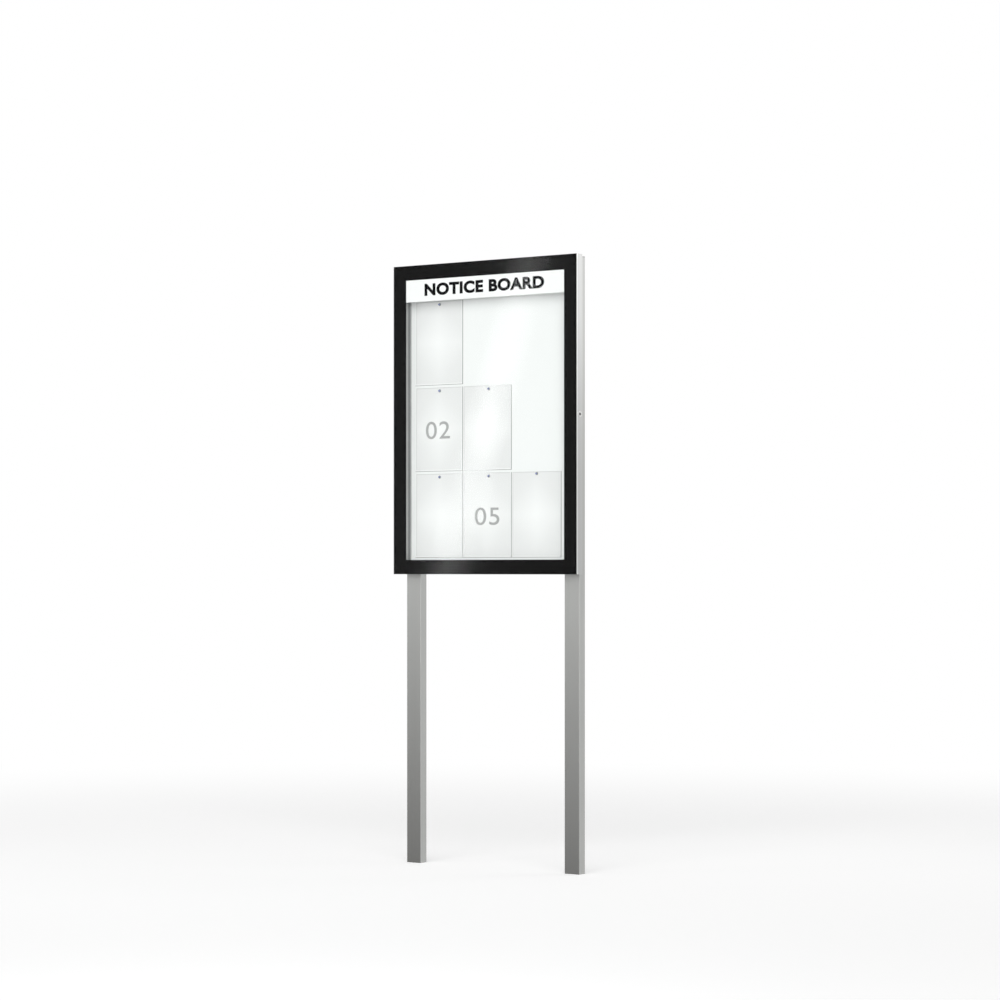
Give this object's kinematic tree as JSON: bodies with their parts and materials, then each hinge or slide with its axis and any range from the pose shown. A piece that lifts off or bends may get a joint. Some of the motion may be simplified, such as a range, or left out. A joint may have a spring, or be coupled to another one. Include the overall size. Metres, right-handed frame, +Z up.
{
  "type": "notice board",
  "caption": "Glazed outdoor notice board: a flat case with a side-hinged lockable glass door on rectangular posts, with a magnetic board, paper sheets and a header panel inside.",
  "frame": {"origin": "on the ground, midway between the posts and at the middle of their depth", "axes": "+Z up along the posts, the glass front faces -Y, +X to the right of someone who looks at the front"},
  "size_m": [0.8108, 0.0886, 2.134],
  "materials": {
    "post_aluminium": "satin natural anodised, fine lengthwise extrusion grain, dusty at the foot",
    "frame_aluminium": "satin natural anodised",
    "cleat_aluminium": "mill finish",
    "sheet_aluminium": "mill finish sheet",
    "zinc_steel": "zinc plated",
    "fastener_steel": "stainless",
    "hinge_steel": "satin stainless",
    "plug_plastic": "grey polyethylene",
    "white_steel": "white powder coat on magnetic steel sheet",
    "seal_rubber": "grey sponge rubber",
    "tape_foam": "grey acrylic foam tape",
    "paper": "light grey paper sheet",
    "magnet": "blue-violet lacquered magnet",
    "glass": "clear toughened safety glass",
    "black_print": "black ceramic print on the back of the glass",
    "header_white": "white satin panel",
    "lock_chrome": "polished nickel"
  },
  "bodies": {
    "stand": {"post_left": "post_aluminium", "post_right": "post_aluminium", "post_plugs": "plug_plastic", "post_bolts": "fastener_steel", "post_washers": "fastener_steel", "post_sleeves": "fastener_steel", "case_profile_bottom": "frame_aluminium", "case_profile_left": "frame_aluminium", "case_profile_top": "frame_aluminium", "case_profile_right": "frame_aluminium", "case_cleats": "cleat_aluminium", "back_sheet": "sheet_aluminium", "back_screws": "fastener_steel", "backing_bar_left": "zinc_steel", "backing_bar_middle": "zinc_steel", "backing_bar_right": "zinc_steel", "display_board": "white_steel", "case_seal": "seal_rubber", "lock_keeper": "zinc_steel", "keeper_screws": "fastener_steel", "notice_left_top": "paper", "notice_left_middle": "paper", "notice_left_bottom": "paper", "notice_centre_middle": "paper", "notice_centre_bottom": "paper", "notice_right_bottom": "paper", "notice_magnets": "magnet", "magnet_plates": "zinc_steel", "hinge_lower_case_leaf": "hinge_steel", "hinge_middle_case_leaf": "hinge_steel", "hinge_upper_case_leaf": "hinge_steel", "hinge_case_screws": "fastener_steel", "hinge_lower_pin": "hinge_steel", "hinge_middle_pin": "hinge_steel", "hinge_upper_pin": "hinge_steel"},
    "door": {"door_profile_bottom": "frame_aluminium", "door_profile_left": "frame_aluminium", "door_profile_top": "frame_aluminium", "door_profile_right": "frame_aluminium", "door_cleats": "cleat_aluminium", "glass_pane": "glass", "black_border": "black_print", "bonding_tape": "tape_foam", "header_panel": "header_white", "header_brackets": "zinc_steel", "hinge_lower_door_leaf": "hinge_steel", "hinge_middle_door_leaf": "hinge_steel", "hinge_upper_door_leaf": "hinge_steel", "hinge_door_screws": "fastener_steel", "lock_barrel": "lock_chrome", "lock_nut": "zinc_steel"},
    "lock_core": {"lock_plug": "lock_chrome", "lock_cam": "zinc_steel", "cam_screw": "fastener_steel"}
  },
  "joints": [
    {"name": "door_hinge", "type": "hinge", "parent": "stand", "child": "door", "pos_m": [-0.4048, -0.0305, 1.584], "axis": [0, 0, -1], "range_deg": [0, 180]},
    {"name": "lock_turn", "type": "hinge", "parent": "door", "child": "lock_core", "pos_m": [0.4, -0.048, 1.584], "axis": [-1, 0, 0], "range_deg": [0, 90]}
  ]
}
